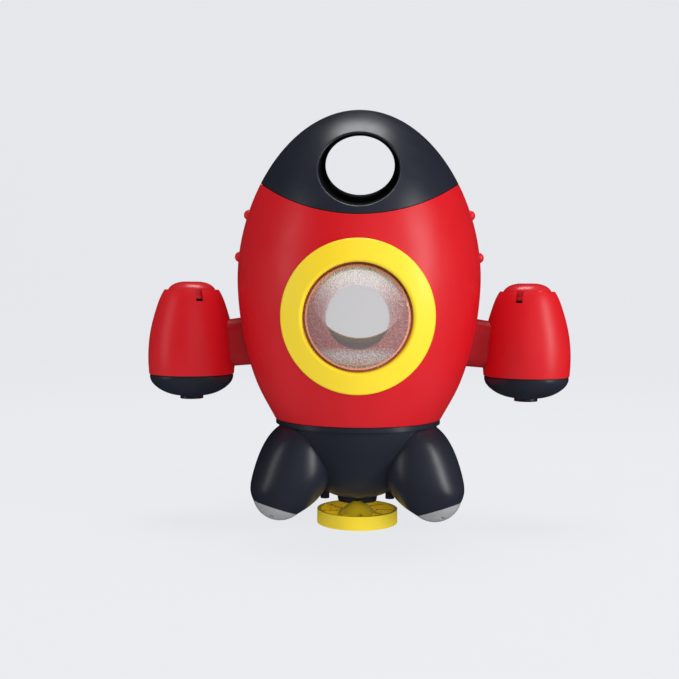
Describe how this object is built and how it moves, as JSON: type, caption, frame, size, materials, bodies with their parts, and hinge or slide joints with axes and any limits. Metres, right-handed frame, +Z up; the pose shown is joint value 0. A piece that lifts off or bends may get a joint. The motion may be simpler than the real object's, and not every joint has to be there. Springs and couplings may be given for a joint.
{
  "type": "bath toy rocket",
  "caption": "Egg-shaped bath rocket with a finger hole through its nose, a round window, two side pods, spray legs and a spinning rotor underneath.",
  "frame": {"origin": "centre of the rotor's underside, on the surface that the toy stands on", "axes": "+Z up along the rotor's axis, -Y out of the front window, +X towards the right-hand pod seen from the front"},
  "size_m": [0.1868, 0.1089, 0.1818],
  "materials": {
    "red_plastic": "satin moulded red",
    "red_dome": "satin translucent red",
    "navy_plastic": "satin moulded navy",
    "black_plastic": "satin black",
    "yellow_plastic": "satin moulded yellow",
    "clear_lens": "clear plastic, lightly textured",
    "grey_plate": "pale translucent grey",
    "seal_rubber": "soft black seal",
    "steel": "stainless",
    "dark_nozzle": "satin dark",
    "deck_plastic": "satin red inner moulding"
  },
  "bodies": {
    "hull": {"body_front": "red_plastic", "body_rear": "red_plastic", "nose_cap": "navy_plastic", "grip_sleeve": "black_plastic", "window_gasket": "seal_rubber", "window_lens": "clear_lens", "window_bezel": "yellow_plastic", "rear_port_ring": "yellow_plastic", "drain_deck": "deck_plastic", "deck_seal": "seal_rubber", "tail_base": "navy_plastic", "rotor_pin": "steel", "body_screws": "steel", "tail_screws": "steel", "leg_front_left": "navy_plastic", "leg_front_right": "navy_plastic", "leg_rear": "navy_plastic", "spray_plate_front_left": "grey_plate", "spray_plate_front_right": "grey_plate", "spray_plate_rear": "grey_plate", "vane_jet_left": "dark_nozzle", "arm_left": "red_plastic", "pod_shell_left": "red_plastic", "pod_dome_left": "red_dome", "pod_cap_left": "navy_plastic", "pod_seal_left": "seal_rubber", "pod_nozzle_left": "dark_nozzle", "vane_jet_right": "dark_nozzle", "arm_right": "red_plastic", "pod_shell_right": "red_plastic", "pod_dome_right": "red_dome", "pod_cap_right": "navy_plastic", "pod_seal_right": "seal_rubber", "pod_nozzle_right": "dark_nozzle"},
    "rotor": {"rotor": "yellow_plastic"}
  },
  "joints": [
    {"name": "rotor_spin", "type": "hinge", "parent": "hull", "child": "rotor", "pos_m": [0, 0, 0.003], "axis": [0, 0, 1], "continuous": true}
  ]
}
